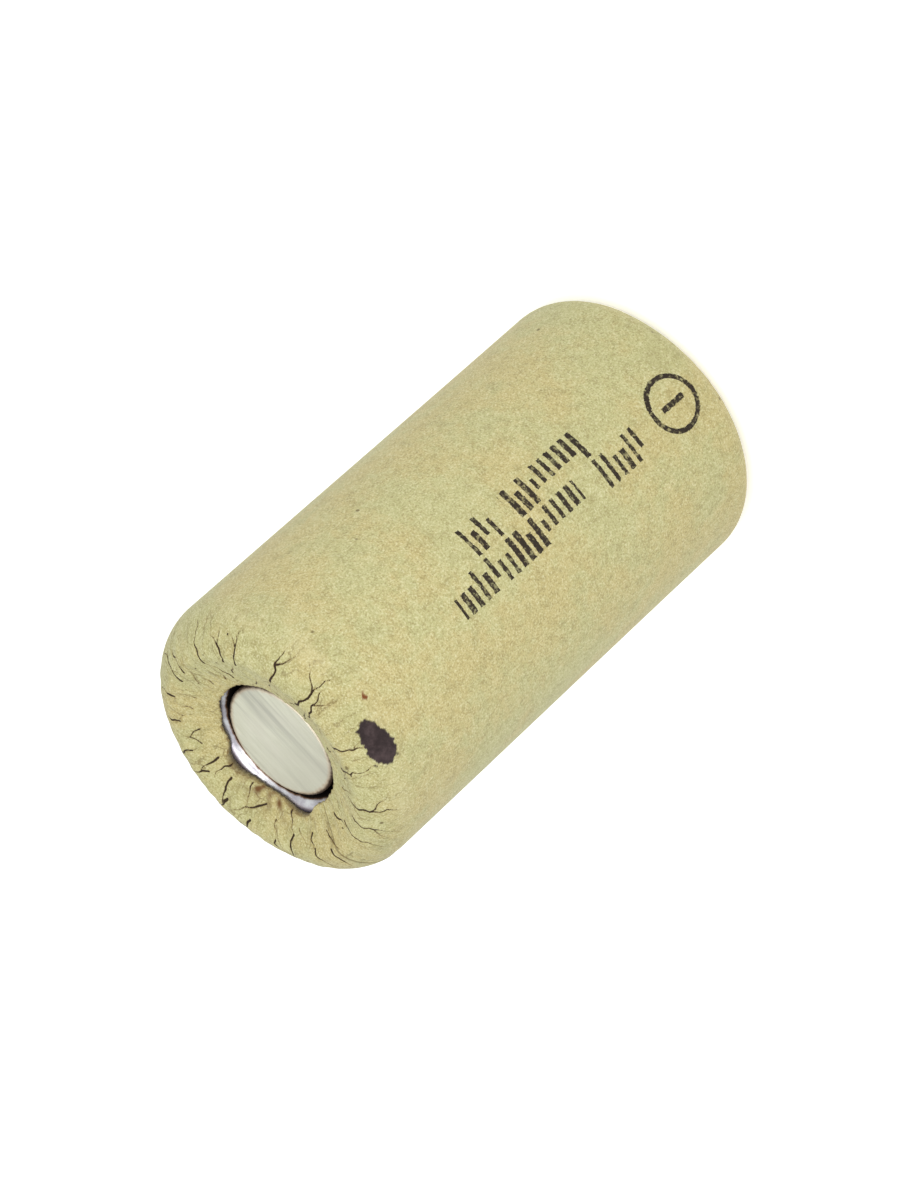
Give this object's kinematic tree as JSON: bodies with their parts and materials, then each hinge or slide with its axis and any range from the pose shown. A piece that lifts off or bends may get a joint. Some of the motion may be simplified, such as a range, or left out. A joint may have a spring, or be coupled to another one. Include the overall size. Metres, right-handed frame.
{
  "type": "cylindrical battery cell",
  "caption": "Cylindrical rechargeable cell in a folded kraft-paper sleeve, with a flat round contact at each end and a sprung vent valve inside.",
  "frame": {"origin": "centre of the sleeve's lower end, the negative end, in the plane that the cell stands on", "axes": "+Z along the cell towards the positive contact; the positive lead's fold lies towards +X"},
  "size_m": [0.0222, 0.0222, 0.043],
  "materials": {
    "kraft_paper": "matte greenish-tan kraft paper, creased at the ends",
    "grey_card": "matte card",
    "nickel_plated_steel": "satin nickel plate",
    "nylon": "matte moulded nylon",
    "polished_lid": "polished nickel plate",
    "ground_contact": "ground one way, dull",
    "valve_rubber": "matte",
    "spring_steel": "drawn wire",
    "nickel_strip": "rolled nickel strip",
    "positive_plate": "pressed powder on a metal core, matte",
    "negative_plate": "pressed powder on a metal core, matte",
    "separator_felt": "thin white felt",
    "tape_film": "thin film tape"
  },
  "bodies": {
    "cell": {"paper_sleeve": "kraft_paper", "insulating_washer": "grey_card", "steel_can": "nickel_plated_steel", "gasket": "nylon", "lid": "polished_lid", "contact_cap": "ground_contact", "valve_spring": "spring_steel", "positive_lead": "nickel_strip", "positive_collector": "nickel_strip", "negative_collector": "nickel_strip", "upper_insulator": "nylon", "positive_electrode": "positive_plate", "negative_electrode": "negative_plate", "inner_separator": "separator_felt", "outer_separator": "separator_felt", "roll_tape": "tape_film"},
    "vent_valve": {"valve_seal": "valve_rubber", "valve_disc": "nickel_plated_steel"}
  },
  "joints": [
    {"name": "vent_lift", "type": "slide", "parent": "cell", "child": "vent_valve", "axis": [0, 0, 1], "range_m": [0, 0.0004], "stiffness_N_per_m": 50, "springref_m": -0.0001, "deforming": ["valve_spring"]}
  ]
}
